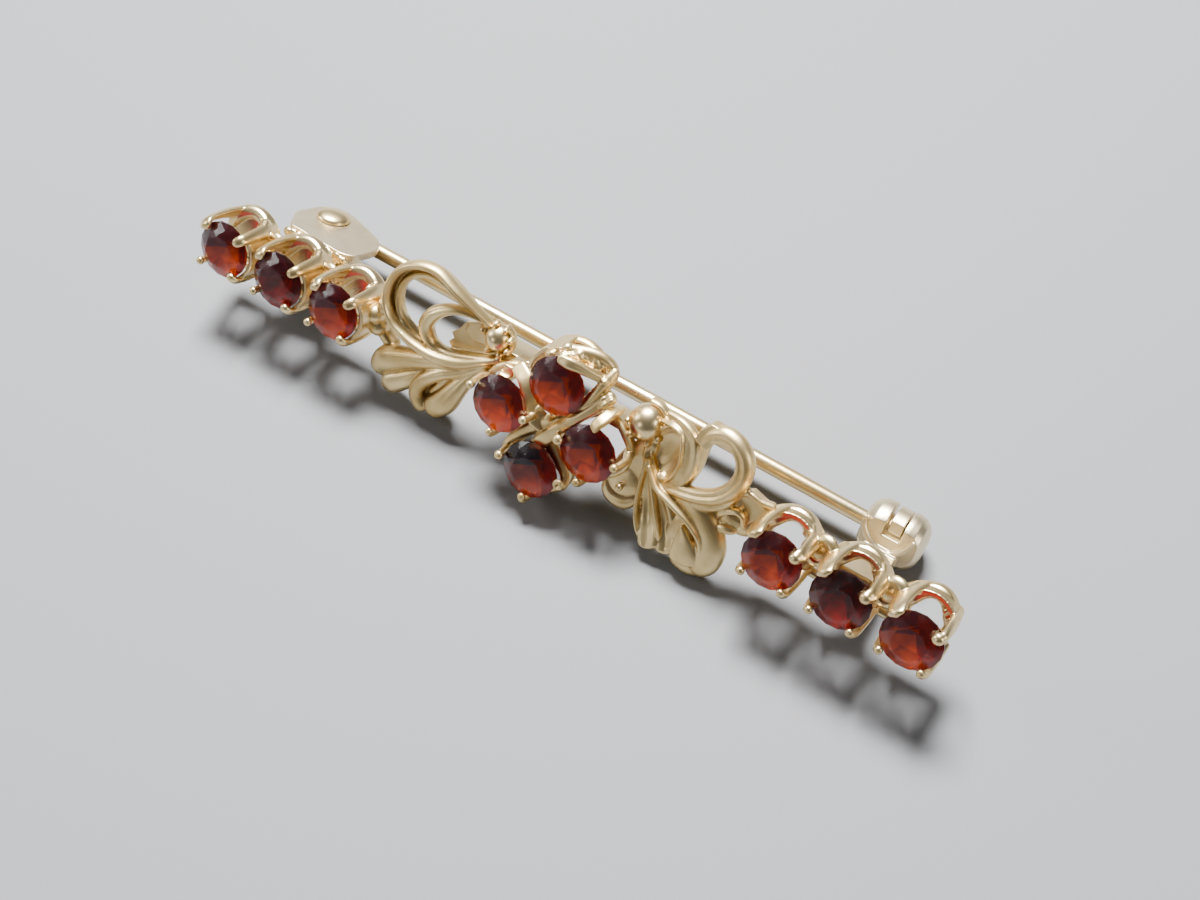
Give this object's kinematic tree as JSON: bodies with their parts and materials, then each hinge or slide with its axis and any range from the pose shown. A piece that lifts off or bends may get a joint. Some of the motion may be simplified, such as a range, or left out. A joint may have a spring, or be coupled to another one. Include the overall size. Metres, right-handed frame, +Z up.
{
  "type": "garnet brooch",
  "caption": "Gold bar brooch with claw-set round garnets in two rows and a centre cluster, cast scrolls between them, a hinged pin and a roller catch.",
  "frame": {"origin": "middle of the box's underside, on the surface that the brooch lies on", "axes": "+X along the bar from the hinge to the catch, +Z up; the face leans back towards +Y and looks to -Y and up"},
  "size_m": [0.0456, 0.0106, 0.0085],
  "materials": {
    "gold": "satin cast yellow gold with polished ridges",
    "gold_pin": "polished drawn gold wire",
    "gold_rivet": "polished pale gold",
    "gold_roller": "brushed pale gold",
    "garnet": "faceted, polished, deep red to orange"
  },
  "bodies": {
    "frame": {"frame": "gold", "garnet_left_1": "garnet", "garnet_left_2": "garnet", "garnet_left_3": "garnet", "garnet_centre_left": "garnet", "garnet_centre_top": "garnet", "garnet_centre_low": "garnet", "garnet_centre_right": "garnet", "garnet_right_1": "garnet", "garnet_right_2": "garnet", "garnet_right_3": "garnet", "hinge_rivet": "gold_rivet"},
    "pin": {"pin": "gold_pin"},
    "catch_roller": {"catch_roller": "gold_roller"}
  },
  "joints": [
    {"name": "pin_hinge", "type": "hinge", "parent": "frame", "child": "pin", "pos_m": [-0.0188, 0.00291, 0.00176], "axis": [0, 0.509, 0.8607], "range_deg": [0, 75]},
    {"name": "catch_turn", "type": "hinge", "parent": "frame", "child": "catch_roller", "pos_m": [0.0173, 0.00371, 0.00155], "axis": [-1, 0, 0], "range_deg": [0, 80]}
  ]
}
